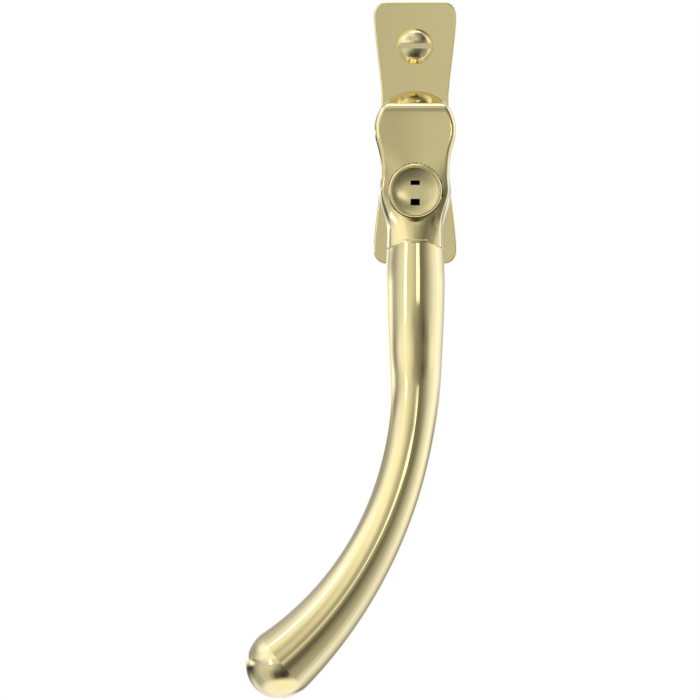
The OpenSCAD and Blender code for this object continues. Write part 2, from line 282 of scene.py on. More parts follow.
WAIST_HW = 8.5                   # half-width of the hub's waist
BULGE_HW = 8.9                   # and beside the lock button
NECK_HW = 6.93                   # and where the bar begins
CIRCLE_END_Z = -3.0              # the round top of the hub runs down to here
SCOOP_Z = -18.3                  # the face sweeps up to the bar's crest from here
SCOOP_RISE = 1.75                # by this much
SCOOP_EASE = 3.0                 # length over which the sweep sets in
CROWN_R = 900                    # the hub's face is very slightly crowned across,
CROWN_UP_R = 560                 # and more so upwards,
CROWN_AT = (4.0, -14.0)          # and highest here, as x and z
ROLL_Z = 4.1                     # it rolls off towards the facet from here
FACET_TOP_Z = 5.85               # where the slanted facet would meet the flat face
FACET_N = (0.9077, 0.4198)       # the facet's direction, as z and h


def hub_half_width(z):
    """Half-width of the hub below its round top."""
    at_end = math.sqrt(HUB_R**2 - CIRCLE_END_Z**2)
    slope = -CIRCLE_END_Z / at_end
    waist_z = CIRCLE_END_Z - 2 * (at_end - WAIST_HW) / slope
    upper = WAIST_HW + (at_end - WAIST_HW) * np.clip((z - waist_z) / (CIRCLE_END_Z - waist_z), 0, 1) ** 2
    bulge = (BULGE_HW - WAIST_HW) * ease((-11 - z) / 4)
    return upper + bulge - (BULGE_HW - NECK_HW) * ease((-14.5 - z) / 10)


def bar_radius(s):
    """Radius of the bar, s millimetres below the seam: it narrows, then flares towards its end."""
    start_r, slim_r, slimmest_at, flare = 7.27, 5.65, 57, 0.00098
    narrowing = start_r - (start_r - slim_r) * ease((s - 8) / 46)
    return np.where(s < slimmest_at, narrowing, slim_r + flare * (s - slimmest_at) ** 2)


def bar_squeeze(s):
    """How much narrower than deep the bar's section is, near the seam."""
    return 1 - 0.044 * (1 - ease(s / 10))


def loft(z):
    """How far the hub's section has turned from a block into the bar's round, and its crest."""
    t = 0.6 * ease((-3 - z) / (-3 - SEAM_Z))
    down = np.maximum(SCOOP_Z - z, 0)
    ramp_down = np.where(down < SCOOP_EASE, down**2 / (2 * SCOOP_EASE), down - SCOOP_EASE / 2)
    crest = HUB_FRONT_H + SCOOP_RISE * ramp_down / (SCOOP_Z - SEAM_Z - SCOOP_EASE / 2)
    return t, crest


def hub_field(x, h, z):
    """A field that is zero on the hub's skin, negative inside it and nearly its distance close by."""
    front_edge_r, back_edge_r, facet_edge_r, seam_r = 1.2, 0.5, 0.8, 0.2
    w = hub_half_width(z)
    slope = (hub_half_width(z + 0.05) - hub_half_width(z - 0.05)) / 0.1
    side = np.where(z > CIRCLE_END_Z, np.hypot(x, z) - HUB_R, (np.abs(x) - w) / np.sqrt(1 + slope**2))
    t, crest = loft(z)
    face = HUB_FRONT_H - (x - CROWN_AT[0]) ** 2 / (2 * CROWN_R) - 0.03 * np.maximum(z - ROLL_Z, 0) ** 2
    face -= np.maximum(z - CROWN_AT[1], 0) ** 2 / (2 * CROWN_UP_R)
    block = round_max(side, h - face, front_edge_r)
    block = round_max(block, HUB_BACK_H - h, back_edge_r)
    rise = 5.5 + (crest - HUB_FRONT_H) / np.maximum(t, 0.05)
    drop = 10.1 - 3.7 * ease((-14 - z) / 13)
    half_depth = np.where(h > BAR_H, rise, drop)
    blob = (np.hypot(x / w, (h - BAR_H) / half_depth) - 1) * np.minimum(w, half_depth)
    hub = (1 - t) * block + t * blob
    facet = FACET_N[0] * (z - FACET_TOP_Z) + FACET_N[1] * (h - HUB_FRONT_H)
    hub = round_max(hub, facet, facet_edge_r)
    hub = np.maximum(hub, SEAM_Z + 0.2 - 0.035 * x**2 - z)
    below = SEAM_Z - z
    axis_h = BAR_H + math.tan(math.radians(TILT[0])) * below
    bar = np.hypot(x / bar_squeeze(below), h - axis_h) - bar_radius(below)
    bar = np.maximum(bar, z - SEAM_Z - 0.5)
    return round_min(hub, bar, seam_r)


def gradient(field, p, d=0.01):
    """Unit normals of a field at points given as (x, h, z) columns."""
    x, h, z = p.T
    g = np.stack([field(x + d, h, z) - field(x - d, h, z),
                  field(x, h + d, z) - field(x, h - d, z),
                  field(x, h, z + d) - field(x, h, z - d)], axis=1) / (2 * d)
    size = np.linalg.norm(g, axis=1)[:, None]
    return g / np.maximum(size, 1e-9), size


def skin_of(field, lo, hi, cell):
    """Quads over the zero surface of a field, with every vertex moved onto that surface."""
    axes = [np.arange(a, b + cell, cell) for a, b in zip(lo, hi)]
    x, h, z = np.meshgrid(*axes, indexing="ij")
    value = field(x, h, z)
    inside = value < 0
    nx, nh, nz = (len(a) - 1 for a in axes)
    count = sum(inside[i:i + nx, j:j + nh, k:k + nz].astype(np.int8)
                for i in (0, 1) for j in (0, 1) for k in (0, 1))
    active = (count > 0) & (count < 8)
    ids = np.full(active.shape, -1)
    ids[active] = np.arange(active.sum())
    ci, cj, ck = np.nonzero(active)
    total = np.zeros((len(ci), 3))
    crossings = np.zeros(len(ci))
    for axis in range(3):
        step = np.eye(3, dtype=int)[axis]
        others = [a for a in range(3) if a != axis]
        for u in (0, 1):
            for v in (0, 1):
                base = np.zeros(3, int)
                base[others[0]], base[others[1]] = u, v
                a = value[ci + base[0], cj + base[1], ck + base[2]]
                b = value[ci + base[0] + step[0], cj + base[1] + step[1], ck + base[2] + step[2]]
                hit = (a < 0) != (b < 0)
                share = np.where(hit, a / np.where(a == b, 1, a - b), 0)
                point = base[None, :] + share[:, None] * step[None, :]
                total += point * hit[:, None]
                crossings += hit
    origin = np.array([a[0] for a in axes])
    p = origin + (np.stack([ci, cj, ck], axis=1) + total / crossings[:, None]) * cell
    for _ in range(4):
        n, size = gradient(field, p)
        step = field(*p.T)[:, None] / np.maximum(size, 0.3)
        p -= n * np.clip(step, -0.5 * cell, 0.5 * cell)
    quads = []
    for axis in range(3):
        u, v = (axis + 1) % 3, (axis + 2) % 3
        first = [slice(1, -1)] * 3
        first[axis] = slice(0, -1)
        second = list(first)
        second[axis] = slice(1, None)
        a, b = inside[tuple(first)], inside[tuple(second)]
        for flip, mask in ((False, a & ~b), (True, ~a & b)):
            where = np.stack(np.nonzero(mask), axis=1)
            where[:, u] += 1
            where[:, v] += 1
            around = []
            for du, dv in ((-1, -1), (0, -1), (0, 0), (-1, 0)):
                q = where.copy()
                q[:, u] += du
                q[:, v] += dv
                around.append(ids[q[:, 0], q[:, 1], q[:, 2]])
            quad = np.stack(around, axis=1)
            quads.append(quad[:, ::-1] if flip else quad)
    return p, np.vstack(quads)


# ---------------------------------------------------------------- lever: path of the bar
def bar_frames(stations):
    """Centres of the bar's sections at distances below the seam, and the directions of each section:

    sideways, outwards and along the bar.
    """
    fine = np.linspace(0, SWEEP_START + SWEEP_FULL, 4001)
    heading = np.maximum(0, fine - SWEEP_START) / SWEEP_R
    tilt = np.radians(np.interp(fine, TILT_S, TILT))
    blur = np.hanning(61)
    tilt = np.convolve(np.pad(tilt, 30, mode="edge"), blur / blur.sum(), mode="valid")
    along = np.stack([-np.sin(heading) * np.cos(tilt), -np.sin(tilt), -np.cos(heading) * np.cos(tilt)],
                     axis=1)
    step = fine[1] - fine[0]
    centre = np.vstack([[0, 0, 0], np.cumsum((along[1:] + along[:-1]) / 2 * step, axis=0)])
    centre += np.array([0, -BAR_H, SEAM_Z])
    pick = [np.interp(stations, fine, col) for col in (*centre.T, *along.T, heading)]
    c = np.stack(pick[:3], axis=1)
    d = np.stack(pick[3:6], axis=1)
    side = np.stack([np.cos(pick[6]), 0 * pick[6], -np.sin(pick[6])], axis=1)
    return c, side, np.cross(side, d), d


def tube_normals(points):
    """Normals of a grid of rings by central differences, pointing out of it."""
    round_way = np.roll(points, -1, axis=1) - np.roll(points, 1, axis=1)
    return unit(np.cross(np.gradient(points, axis=0), round_way))


def lever_rings(join_z):
    """Rings of the bar from just below the cut at join_z to the crease, then of the rounded end."""
    first = SEAM_Z - join_z + 0.4
    last = SWEEP_START + SWEEP_LEN
    a = np.linspace(0, 2 * math.pi, BAR_SEGMENTS, endpoint=False)[None, :, None]
    s = np.linspace(first, last, 150)
    c, side, up, d = bar_frames(s)
    side_r = (bar_radius(s) * bar_squeeze(s))[:, None, None]
    up_r = bar_radius(s)[:, None, None]
    shaft = c[:, None] + side_r * np.cos(a) * side[:, None] + up_r * np.sin(a) * up[:, None]
    turn = np.linspace(0, math.pi / 2, 28)[:-1]
    end_r = float(bar_radius(np.array(last)))
    r = end_r * np.cos(turn)[:, None, None]
    dome = (c[-1] + END_LEN * np.sin(turn)[:, None, None] * d[-1]
            + r * (np.cos(a) * side[-1] + np.sin(a) * up[-1]))
    return shaft, dome, c[-1] + END_LEN * d[-1], d[-1]


def zipper(loop_a, angle_a, loop_b, angle_b):
    """Triangles between two closed runs of vertices, each sorted by its angle round the same axis."""
    faces = []
    i = j = 0
    while i < len(loop_a) or j < len(loop_b):
        next_a = angle_a[(i + 1) % len(loop_a)] + 2 * math.pi * ((i + 1) // len(loop_a))
        next_b = angle_b[(j + 1) % len(loop_b)] + 2 * math.pi * ((j + 1) // len(loop_b))
        a, b = loop_a[i % len(loop_a)], loop_b[j % len(loop_b)]
        if j >= len(loop_b) or (i < len(loop_a) and next_a <= next_b):
            faces.append((a, loop_a[(i + 1) % len(loop_a)], b))
            i += 1
        else:
            faces.append((a, loop_b[(j + 1) % len(loop_b)], b))
            j += 1
    return faces


def neck():
    """Round neck that runs in the bush, with its four flats and its circlip groove."""
    back_h, groove_r, groove_lo, groove_hi = 0.65, 5.85, 0.74, 1.31
    root_h = HUB_BACK_H + 0.6
    profile = [(0, back_h), (NECK_R - 0.15, back_h), (NECK_R, groove_lo - 0.01), (NECK_R, groove_lo),
               (groove_r, groove_lo), (groove_r, groove_hi), (NECK_R, groove_hi), (NECK_R, root_h),
               (0, root_h)]
    piece = lathe("cutter", profile)
    flat = 5.6
    cut(piece, *[box(lo + (0,), hi + (3.0,)) for lo, hi in (
        ((flat, -9), (9, 9)), ((-9, -9), (-flat, 9)), ((-9, flat), (9, 9)), ((-9, -9), (9, -flat)))])
    return piece


def handle_lever():
    """Hub, bar and rounded end as one casting, with its bores and its relief cut out."""
    join_z = SEAM_Z - 5.0
    p, quads = skin_of(lambda x, h, z: np.maximum(hub_field(x, h, z), join_z - 1 - z),
                       (-10.6, 4.6, join_z - 1.6), (10.6, 23.6, 10.6), LEVER_CELL)
    hub = new_mesh("hub", np.stack([p[:, 0], -p[:, 1], p[:, 2]], axis=1), quads[:, ::-1])
    cut(hub, neck(), operation="UNION")
    below = box((-12, join_z - 10, 0), (12, join_z, 40))
    inner_r, outer_r, relief_h = 16.7, 27.4, 7.7            # room for the head of the lower screw
    relief = lathe("cutter", [(inner_r, 0), (outer_r, 0), (outer_r, relief_h), (inner_r, relief_h)],
                   segments=256)
    mouth_r = BORE_R + 0.22
    bore = [(0, BORE_FLOOR_H), (BORE_R, BORE_FLOOR_H), (BORE_R, HUB_FRONT_H - 0.15),
            (mouth_r, HUB_FRONT_H + 0.07), (mouth_r, 30), (0, 30)]
    cut(hub, below, lathe("cutter", bore, z=LOCK_Z, segments=256), relief,
        cross_cylinder(1.52, 4.5, 12, LOCK_Z, 15.0), cross_cylinder(2.02, 3.4, 12, 0, 10.0),
        prism("cutter", square_outline(3.53, 0.1), [(0, 0), (0, 16)]),
        cylinder(2.05, 0, 10, z=LOCK_Z))
    mesh = hub.data
    verts = np.array([v.co for v in mesh.vertices]) / MM
    faces = [tuple(f.vertices) for f in mesh.polygons]
    at_cut = np.abs(verts[:, 2] - join_z) < 1e-3
    faces = [f for f in faces if not all(at_cut[i] for i in f)]
    edges = {}                       # in the order of the faces
    for f in faces:
        for a, b in zip(f, f[1:] + f[:1]):
            edges[(a, b)] = True
    loop = [a for (a, b) in edges if (b, a) not in edges]
    shaft, dome, tip, tip_dir = lever_rings(join_z)

    def angle_of(q):
        return np.arctan2(-(q[:, 1] + BAR_H), q[:, 0]) % (2 * math.pi)

    loop = np.array(loop)[np.argsort(angle_of(verts[loop]))]
    ring_start = len(verts)
    shaft_n, dome_n = tube_normals(shaft), tube_normals(dome)
    rows, cols = shaft.shape[:2]
    all_verts = np.vstack([verts, shaft.reshape(-1, 3), dome[1:].reshape(-1, 3), [tip]])
    ring = ring_start + np.arange(cols)
    ring = ring[np.argsort(angle_of(all_verts[ring]))]
    bridge = zipper(loop, angle_of(all_verts[loop]), ring, angle_of(all_verts[ring]))
    shaft_faces = [tuple(ring_start + i for i in f[::-1]) for f in grid_faces(rows, cols)]
    dome_start = ring_start + (rows - 1) * cols
    dome_faces = [tuple(dome_start + i for i in f[::-1]) for f in grid_faces(len(dome), cols)]
    tip_id = len(all_verts) - 1
    last = tip_id - cols
    dome_faces += [(last + (k + 1) % cols, last + k, tip_id) for k in range(cols)]

    field_n, _ = gradient(hub_field, np.stack([verts[:, 0], -verts[:, 1], verts[:, 2]], axis=1))
    field_n = np.stack([field_n[:, 0], -field_n[:, 1], field_n[:, 2]], axis=1)
    smooth_n = np.vstack([field_n, shaft_n.reshape(-1, 3), dome_n[1:].reshape(-1, 3), [tip_dir]])
    all_faces = faces + bridge + shaft_faces + dome_faces
    corner_n = []
    for index, f in enumerate(all_faces):
        pts = all_verts[list(f)]
        flat = np.cross(pts[1] - pts[0], pts[2] - pts[0])
        if len(f) > 3:
            flat = np.cross(pts[2] - pts[0], pts[3] - pts[1])
        flat /= max(np.linalg.norm(flat), 1e-12)
        in_dome = index >= len(faces) + len(bridge) + len(shaft_faces)
        for i in f:
            n = smooth_n[i]
            if in_dome and i < dome_start + cols:
                n = dome_n[0][i - dome_start]
            corner_n.append(n if n @ flat > SAME_SURFACE else flat)
    bpy.data.objects.remove(hub)
    return new_mesh("handle_lever_casting", all_verts, all_faces, np.array(corner_n))


# ---------------------------------------------------------------- other parts
def plate_half_width(z):
    t = np.clip((abs(z) - 9.2) / 18.4, 0, 1)
    return PLATE_WAIST_HW + (PLATE_END_HW - PLATE_WAIST_HW) * (0.65 * t + 0.35 * ease(t))


def plate_outline():
    """Waisted outline of the base plate, anticlockwise seen from the front."""
    z_arc = PLATE_LEN / 2 - PLATE_CORNER_R
    x_arc = PLATE_END_HW - PLATE_CORNER_R
    z = np.linspace(-z_arc, z_arc, 81)[1:-1]
    side = np.stack([plate_half_width(z), z], axis=1)
    a = np.linspace(0, math.pi / 2, 14)
    corner = np.stack([x_arc + PLATE_CORNER_R * np.cos(a), z_arc + PLATE_CORNER_R * np.sin(a)], axis=1)
    half = np.vstack([corner[::-1] * [1, -1], side, corner])
    return np.vstack([half, half[::-1] * [-1, 1]])


def square_outline(half_width, r):
    w = half_width
    return rounded([(w, -w), (w, w), (-w, w), (-w, -w)], [r] * 4)


def cross_cylinder(r, x0, x1, z, h, segments=64):
    """A cylinder along X, from x0 to x1."""
    a = np.linspace(0, 2 * math.pi, segments, endpoint=False)
    rings = [out_of_wall(np.full(segments, x), z + r * np.sin(a), h + r * np.cos(a)) for x in (x0, x1)]
    faces = [tuple(f[::-1]) for f in grid_faces(2, segments)]
    faces += [tuple(range(segments)), tuple(range(2 * segments - 1, segments - 1, -1))]
    return new_mesh("cutter", np.vstack(rings), faces)


def base_plate():
    """Cast base plate: waisted outline, eased edges, and the pockets at its back."""
    plate = prism("base_plate_casting", plate_outline(), edge_profile(0, PLATE_T, 0.15, 0.4))
    half_x, half_z = cover_hi[0] + 0.05, cover_hi[2] + 0.05
    recess = rounded([(half_x, -half_z), (half_x, half_z), (-half_x, half_z), (-half_x, -half_z)], [2.05] * 4)
    cover_t, pocket_h, above = 0.62, 3.4, 6
    bolt_hole_r, bolt_hole_end_h, bolt_mouth_r = 2.15, 2.2, 2.5
    bolt_hole = [(0, bolt_hole_end_h), (bolt_hole_r, bolt_hole_end_h), (bolt_hole_r, PLATE_T - 0.3),
                 (bolt_mouth_r, PLATE_T + 0.05), (bolt_mouth_r, above), (0, above)]
    cutters = [prism("cutter", recess, [(0, -1), (0, cover_t)]),
               cylinder(7.45, -1, pocket_h),
               box((-7.2, -8.6, -1), (7.2, 8.6, pocket_h)),
               cylinder(6.92, -1, above),
               lathe("cutter", bolt_hole, z=LOCK_Z, segments=64)]
    for z in (SCREW_Z, -SCREW_Z):
        cutters.append(cylinder(SCREW_HOLE_R, -1, above, z=z, segments=64))
    cut(plate, *cutters)
    flat_faces_stay_flat(plate)
    return plate


def fixing_screw(name, z):
    """Slotted raised-head screw, one solid from its rolled thread to its domed face."""
    segments, pitch, root = 72, 0.8, 0.45
    a = np.linspace(0, 2 * math.pi, segments, endpoint=False)
    tip_h, thread_end_h = -screw_hi[1], -0.4
    rings = [(0 * a + 1.7, tip_h), (0 * a + 2.1, tip_h + 0.4)]
    for h in np.arange(tip_h + 0.5, thread_end_h, pitch / 10):
        wave = np.abs(((h / pitch - a / (2 * math.pi)) % 1) * 2 - 1)
        crest = np.clip(1.25 * wave - 0.1, 0, 1)
        fade = min(1, (h - tip_h) / 1.6, (thread_end_h - h) / 1.2 + 0.15)
        rings.append((2.5 - root + root * crest * fade, h))
    head_r, top_r, side_h = 4.4, 3.7, 1.2
    head_h = -screw_lo[1] - PLATE_T
    rise = head_h - side_h
    dome_r = (top_r**2 + rise**2) / (2 * rise)
    side = rounded([(2.4, 0), (head_r, 0), (head_r - 0.08, 0.22), (top_r + 0.02, side_h - 0.12),
                    (top_r - 0.1, side_h)], [0, 0.06, 0.2, 0.1, 0], steps=4)
    rings += [(0 * a + 2.4, 0.0), *((0 * a + r, PLATE_T + h) for r, h in side)]
    for k in range(1, 16):
        r = (top_r - 0.1) * (1 - k / 16)
        rings.append((0 * a + r, PLATE_T + head_h - dome_r + math.sqrt(dome_r**2 - r**2)))
    verts = [out_of_wall(r * np.cos(a), z + r * np.sin(a), h + 0 * a) for r, h in rings]
    n = len(rings) * segments
    verts = np.vstack([*verts, out_of_wall(np.zeros(2), np.full(2, z), np.array([tip_h, PLATE_T + head_h]))])
    faces = grid_faces(len(rings), segments)
    for k in range(segments):
        j = (k + 1) % segments
        faces += [(n, j, k), (n + 1, n - segments + k, n - segments + j)]
    screw = new_mesh(name, verts, faces)
    slot_w, slot_depth = 1.45, 1.25
    slot = box((-5, z - slot_w / 2, PLATE_T + head_h - slot_depth), (5, z + slot_w / 2, PLATE_T + head_h + 1))
    cut(screw, slot, sharp=35)
    return screw


def spindle():
    """Square drive spindle, drawn bar with eased edges and a chamfer at each end."""
    w = spindle_hi[0]
    back, front = -spindle_hi[1], -spindle_lo[1]
    piece = prism("drive_spindle", square_outline(w, 0.55),
                  [(0.45, back), (0.0, back + 0.6), (0.0, front - 0.5), (0.4, front)])
    flat_faces_stay_flat(piece)
    return piece


def retaining_plate():
    """Stamped cover plate behind the mechanism, with its two screw holes and the neck hole."""
    hx, hz = cover_hi[0], cover_hi[2]
    outline = rounded([(hx, -hz), (hx, hz), (-hx, hz), (-hx, -hz)], [2.0] * 4, steps=10)
    t = -cover_lo[1]
    piece = prism("retaining_cover", outline, edge_profile(0, t, 0.16, 0.06, steps=4))
    cutters = [lathe("cutter", [(0, -1), (5.4, -1), (5.4, -0.01), (5.1, 0.22), (5.1, 2), (0, 2)])]
    for z in (SCREW_Z, -SCREW_Z):
        cutters.append(cylinder(SCREW_HOLE_R, -1, 2, z=z, segments=64))
    cut(piece, *cutters)
    flat_faces_stay_flat(piece)
    return piece


def lock_button():
    """Push button: a turned sleeve with a thin rounded rim round the key plug."""
    stem_hole_r, spring_pocket_r, plug_bore_r, rim_r = 1.52, 3.6, 4.25, 5.85
    web_back_h, web_front_h, plug_seat_h = 13.9, 14.7, 20.4
    rim = rounded([(BUTTON_R, BUTTON_BACK_H + 0.25), (BUTTON_R, BUTTON_FRONT_H), (rim_r, BUTTON_FRONT_H),
                   (rim_r, plug_seat_h)], [0, 0.45, 0.12, 0], steps=8)
    profile = [(stem_hole_r, web_back_h), (spring_pocket_r, web_back_h), (spring_pocket_r, BUTTON_BACK_H),
               (BUTTON_R - 0.25, BUTTON_BACK_H), *rim, (plug_bore_r, plug_seat_h),
               (plug_bore_r, web_front_h), (stem_hole_r, web_front_h)]
    piece = lathe("lock_button_sleeve", profile, z=LOCK_Z, segments=160)
    cut(piece, cylinder(4.76, 15.7, 17.5, z=LOCK_Z + 1.94),
        box((5.65, LOCK_Z - 0.75, 14.25), (7.65, LOCK_Z + 0.75, 18.75)))
    flat_faces_stay_flat(piece)
    return piece


def lock_plug():
    """Key plug: a dished disc with a flat bridge between its two key openings."""
    disc_r, stem_r = plug_hi[0], 4.2
    rim_h = -plug_lo[1]
    # Slope of the dish at 1 mm from its middle. It grows with the square of the radius.
    slope = math.radians(0.48)
    middle_h = rim_h - slope * disc_r**3 / 3
    floor_h = middle_h - 0.25
    dish = [(q, middle_h + slope * q**3 / 3) for q in np.linspace(disc_r - 0.12, 0, 26)]
    profile = [(0, 15.4), (stem_r, 15.4), (stem_r, 20.45), (disc_r, 20.45), (disc_r, rim_h - 0.12), *dish]
    piece = lathe("lock_plug_dish", profile, z=LOCK_Z, segments=160)
    openings = ((1.39, 2.51), (-3.57, -1.96))               # lower and upper edge, from the lock's middle
    bottom, top = openings[1][0], openings[0][1]
    w, depth_h = 2.25 / 2, 17.9
    cutters = [box((-w, LOCK_Z + bottom, floor_h), (w, LOCK_Z + top, floor_h + 5))]
    for lo, hi in openings:
        cutters.append(box((-w, LOCK_Z + lo, depth_h), (w, LOCK_Z + hi, 26)))
    cut(piece, *cutters)
    piece.data.materials.clear()
    piece.data.materials.append(materials["brass_button"])
    piece.data.materials.append(materials["key_shadow"])
    for face in piece.data.polygons:
        x, y, z = face.center / MM
        in_width = abs(x) < w + 0.01
        in_depth = depth_h - 0.05 < -y < floor_h - 0.05
        in_length = bottom - 0.04 < z - LOCK_Z < top + 0.04
        face.material_index = int(in_width and in_depth and in_length)
    flat_faces_stay_flat(piece)
    return piece


def coil_spring(name, cad_node, wire_r, turns, along):
    """Coil spring in the place of a CAD node, with its axis along Y (1) or Z (2)."""
    lo, hi = corners(cad_node)
    middle = (lo + hi) / 2
    across = [axis for axis in range(3) if axis != along]
    r = (hi - lo)[across].max() / 2 - wire_r
    t = np.linspace(0, 1, int(turns * 40) + 1)[:, None]
    k = np.linspace(0, 2 * math.pi, 14, endpoint=False)[None, :]
    q = r + wire_r * np.cos(k)
    verts = np.empty((t.size, k.size, 3))
    verts[..., across[0]] = middle[across[0]] + q * np.cos(2 * math.pi * turns * t)
    verts[..., across[1]] = middle[across[1]] + q * np.sin(2 * math.pi * turns * t)
    verts[..., along] = lo[along] + wire_r + (hi[along] - lo[along] - 2 * wire_r) * t + wire_r * np.sin(k)
    last = (t.size - 1) * k.size
    faces = grid_faces(t.size, k.size)
    faces += [tuple(range(k.size - 1, -1, -1)), tuple(range(last, last + k.size))]
    if along == 2:
        faces = [f[::-1] for f in faces]
    return new_mesh(name, verts.reshape(-1, 3), faces)


def squeeze(spring):
    """Gives a spring a mesh of its own."""
    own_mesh(spring)


# ---------------------------------------------------------------- materials
def node(tree, kind, inputs=None, **settings):
    """A node with its settings and its inputs; an input is a value or another node's output."""
    made = tree.nodes.new(kind)
    for key, value in settings.items():
        setattr(made, key, value)
    for key, value in (inputs or {}).items():
        if isinstance(value, bpy.types.NodeSocket):
            tree.links.new(value, made.inputs[key])
        else:
            made.inputs[key].default_value = value
    return made


def calc(tree, operation, *values):
    return node(tree, "ShaderNodeMath", dict(enumerate(values)), operation=operation).outputs[0]


def remap(tree, value, from_lo, from_hi, to_lo, to_hi, smooth=False):
    return node(tree, "ShaderNodeMapRange",
                {"Value": value, "From Min": from_lo, "From Max": from_hi, "To Min": to_lo, "To Max": to_hi},
                interpolation_type="SMOOTHSTEP" if smooth else "LINEAR").outputs["Result"]


def blend_colours(tree, factor, a, b, mode="MIX"):
    mix = node(tree, "ShaderNodeMix", {"Factor": factor, 6: a, 7: b}, data_type="RGBA", blend_type=mode)
    return mix.outputs[2]


def finish_material(name, light, dark, metallic, roughness, stretch, grain, bump,
                    cloud=90, spangle=0.0, specular=0.5):
    """A procedural finish.

    light and dark are the two tones it drifts between, roughness is its range, stretch draws out
    the grain along an axis, grain is its scale per metre and bump its height in metres. cloud is
    the scale of the slow drift, and spangle that of the crystals on a zinc coat.
    """
    mat = bpy.data.materials.new(name)
    mat.use_nodes = True
    tree = mat.node_tree
    shader = tree.nodes["Principled BSDF"]
    shader.inputs["Metallic"].default_value = metallic
    shader.inputs["Specular IOR Level"].default_value = specular
    place = node(tree, "ShaderNodeTexCoord").outputs["Object"]
    drawn = node(tree, "ShaderNodeMapping", {"Vector": place, "Scale": stretch}).outputs["Vector"]
    soft = node(tree, "ShaderNodeTexNoise", {"Vector": place, "Scale": cloud, "Detail": 3.0}).outputs["Fac"]
    fine = node(tree, "ShaderNodeTexNoise", {"Vector": drawn, "Scale": grain, "Detail": 4.0,
                                             "Roughness": 0.65}).outputs["Fac"]
    tone = soft
    if spangle:
        cells = node(tree, "ShaderNodeTexVoronoi", {"Vector": place, "Scale": spangle}).outputs["Color"]
        tone = node(tree, "ShaderNodeSeparateColor", {"Color": cells}).outputs[0]
    shade = remap(tree, tone, 0.3, 0.7, 0.0, 1.0)
    tree.links.new(blend_colours(tree, shade, (*dark, 1), (*light, 1)), shader.inputs["Base Color"])
    both = calc(tree, "MULTIPLY_ADD", fine, 0.6, calc(tree, "MULTIPLY", soft, 0.4))
    tree.links.new(remap(tree, both, 0.35, 0.65, *roughness), shader.inputs["Roughness"])
    relief = node(tree, "ShaderNodeBump", {"Height": fine, "Distance": bump, "Strength": 1.0})
    tree.links.new(relief.outputs["Normal"], shader.inputs["Normal"])
    return mat


materials = {
    "polished_brass": finish_material("polished_brass", (0.86, 0.75, 0.385), (0.84, 0.725, 0.36), 1.0,
                                      (0.025, 0.07), (1, 1, 0.12), 2600, 2.0e-7),
    "brass_button": finish_material("brass_button", (0.87, 0.76, 0.40), (0.85, 0.735, 0.37), 1.0,
                                    (0.145, 0.20), (1, 1, 1), 2200, 2.5e-7),
    "brass_screw": finish_material("brass_screw", (0.86, 0.76, 0.43), (0.83, 0.73, 0.39), 1.0,
                                   (0.04, 0.10), (1, 1, 1), 2000, 3.0e-7),
    "zinc_steel": finish_material("zinc_steel", (0.67, 0.67, 0.66), (0.59, 0.59, 0.585), 1.0,
                                  (0.22, 0.36), (1, 0.15, 1), 1500, 1.5e-6, spangle=1700),
    "spring_steel": finish_material("spring_steel", (0.52, 0.53, 0.55), (0.40, 0.41, 0.43), 1.0,
                                    (0.20, 0.34), (0.1, 1, 1), 1800, 8.0e-7),
    "black_steel": finish_material("black_steel", (0.075, 0.078, 0.085), (0.04, 0.042, 0.046), 0.75,
                                   (0.32, 0.5), (1, 1, 1), 1600, 1.2e-6),
    "black_nylon": finish_material("black_nylon", (0.035, 0.035, 0.038), (0.022, 0.022, 0.024), 0.0,
                                   (0.42, 0.6), (1, 1, 1), 3200, 2.5e-6),
    "key_shadow": finish_material("key_shadow", (0.006, 0.006, 0.006), (0.003, 0.003, 0.003), 0.0,
                                  (0.8, 0.95), (1, 1, 1), 1500, 1.0e-6, specular=0.05),
    "white_nylon": finish_material("white_nylon", (0.78, 0.77, 0.73), (0.70, 0.69, 0.64), 0.0,
                                   (0.40, 0.55), (1, 1, 1), 3200, 2.0e-6),
}


def put(piece, body, finish, *stands_for):
    """Dresses a new piece, and hides the CAD nodes it stands for."""
    if not any(piece.data.materials):
        piece.data.materials.clear()
        piece.data.materials.append(materials[finish])
    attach(piece, body)
    if stands_for:
        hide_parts(*stands_for)


put(base_plate(), "base", "polished_brass", "base_plate")
put(retaining_plate(), "base", "zinc_steel", "retaining_plate")
put(fixing_screw("upper_screw", SCREW_Z), "base", "brass_screw", "upper_fixing_screw")
put(fixing_screw("lower_screw", -SCREW_Z), "base", "brass_screw", "lower_fixing_screw")
put(handle_lever(), "lever", "polished_brass", "handle_lever")
put(spindle(), "lever", "zinc_steel", "spindle")
put(lock_button(), "button", "brass_button", "lock_button")
put(lock_plug(), "plug", "brass_button", "lock_plug")

for name, cad_node, body, wire_r, turns, along, joint, travel in (
        ("return_coil", "lock_return_spring", "button", 0.25, 3.5, 1, "lock_press", BUTTON_TRAVEL),
        ("latch_coil", "latch_spring", "plug", 0.15, 6, 2, "key_turn", LATCH_TRAVEL)):
    spring = coil_spring(name, cad_node, wire_r, turns, along)
    put(spring, body, "spring_steel", cad_node)
    squeeze(spring)

CAD_FINISH = {
    "zinc_steel": ["index_cam", "lock_bolt", "latch_pin"],
    "spring_steel": ["upper_index_spring", "lower_index_spring", "disc_spring"],
    "black_steel": ["retaining_circlip", "spindle_grub_screw", "button_stop_screw"],
    "black_nylon": ["hub_bush"],
    "white_nylon": ["thrust_washer"],
}
for finish, names in CAD_FINISH.items():
    for name in names:
        cad_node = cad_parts[name]
        for index in range(len(cad_node.material_slots)):
            cad_node.material_slots[index].material = materials[finish]


